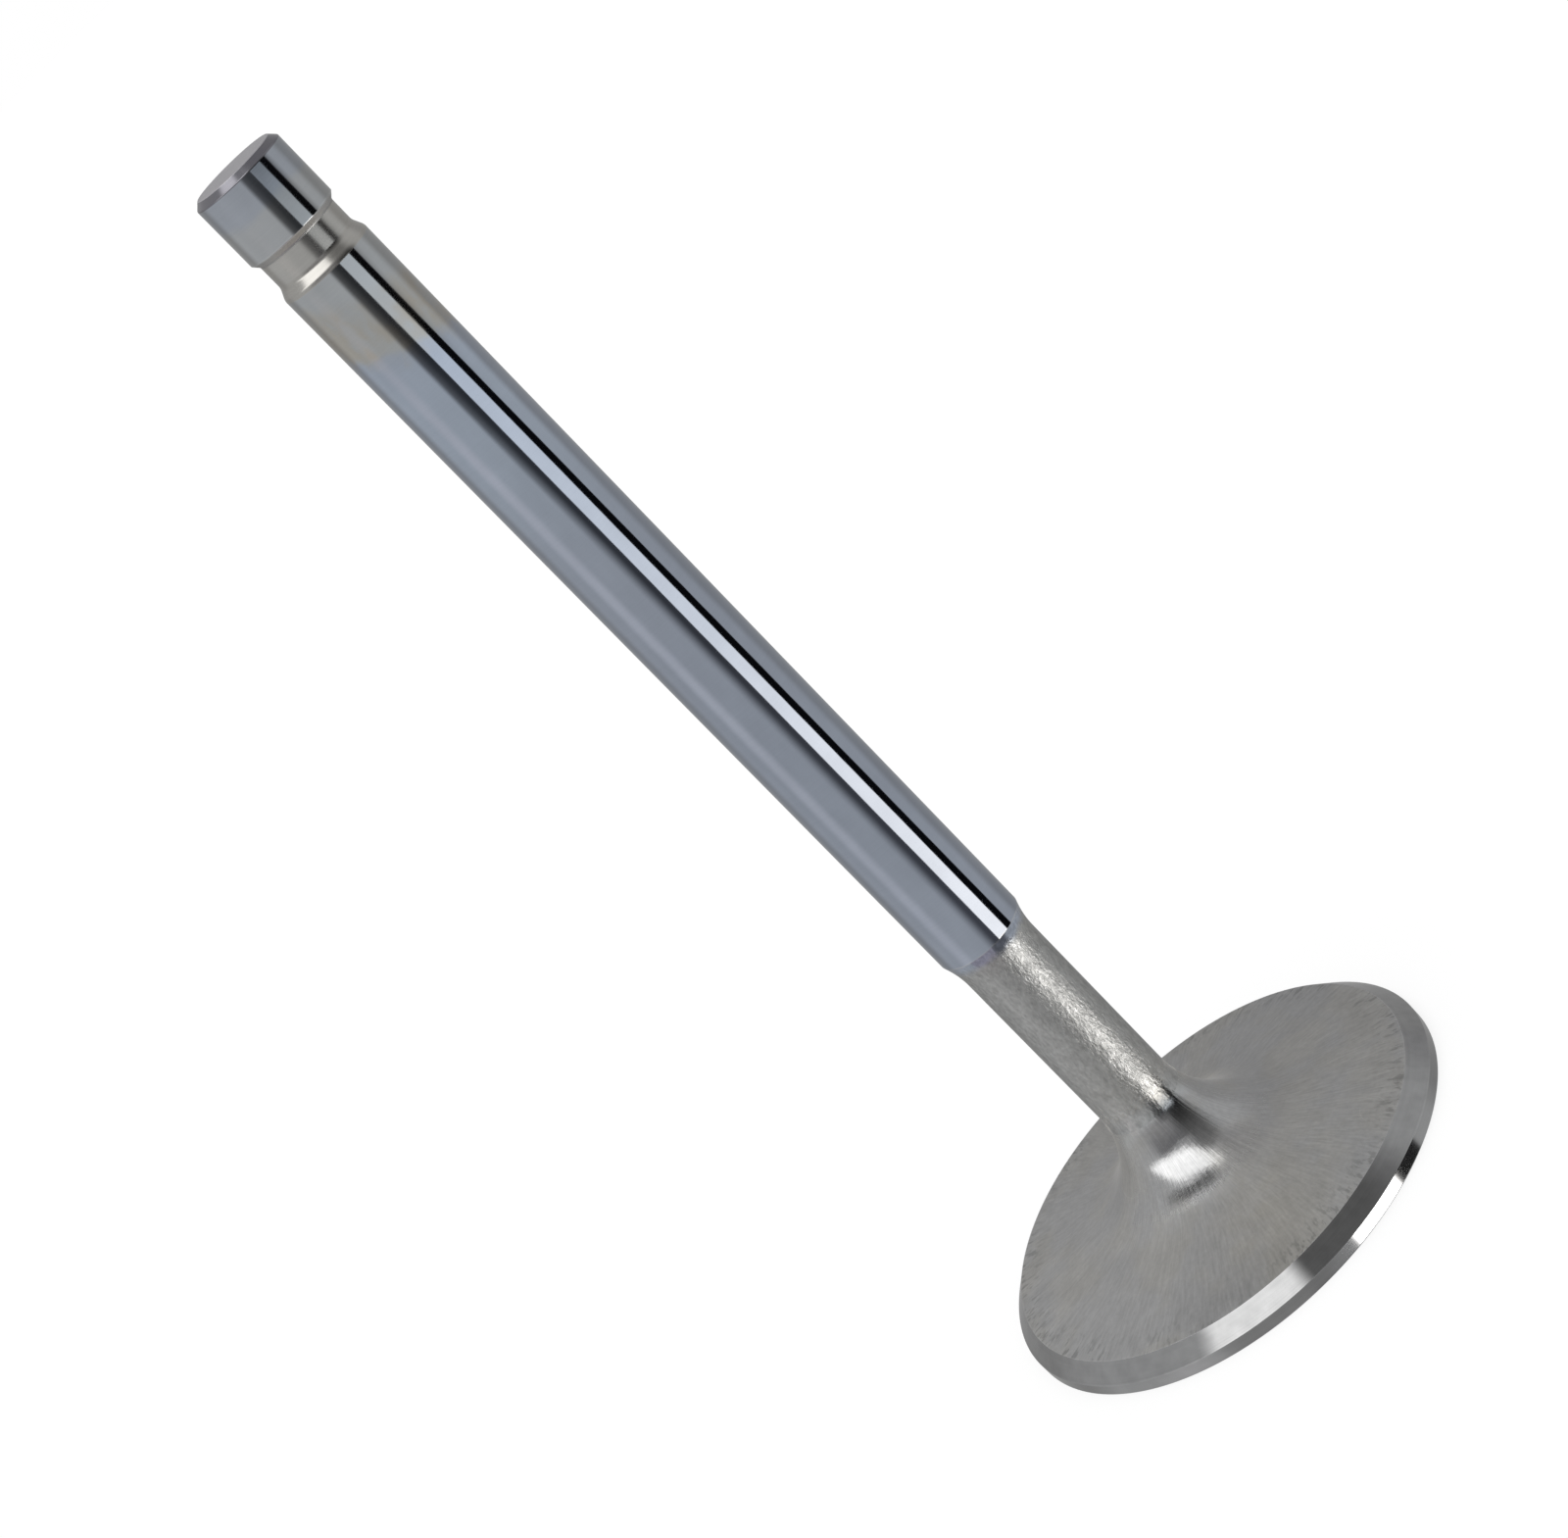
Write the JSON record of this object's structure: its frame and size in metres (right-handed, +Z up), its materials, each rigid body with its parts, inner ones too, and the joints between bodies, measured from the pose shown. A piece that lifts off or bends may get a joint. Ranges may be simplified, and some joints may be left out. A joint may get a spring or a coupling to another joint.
{
  "type": "engine valve",
  "caption": "Poppet valve: flat round head with a bevelled seat face, tulip underside, undercut neck, plated stem, keeper groove and chamfered tip.",
  "frame": {"origin": "centre of the flat combustion face, which the valve stands on", "axes": "+Z up the stem to the tip; the valve is round about Z, so X and Y are free"},
  "size_m": [0.0462, 0.046, 0.1249],
  "materials": {
    "valve_steel": "satin turned steel, with a polished plated stem"
  },
  "bodies": {
    "root": {"valve": "valve_steel"}
  },
  "joints": []
}
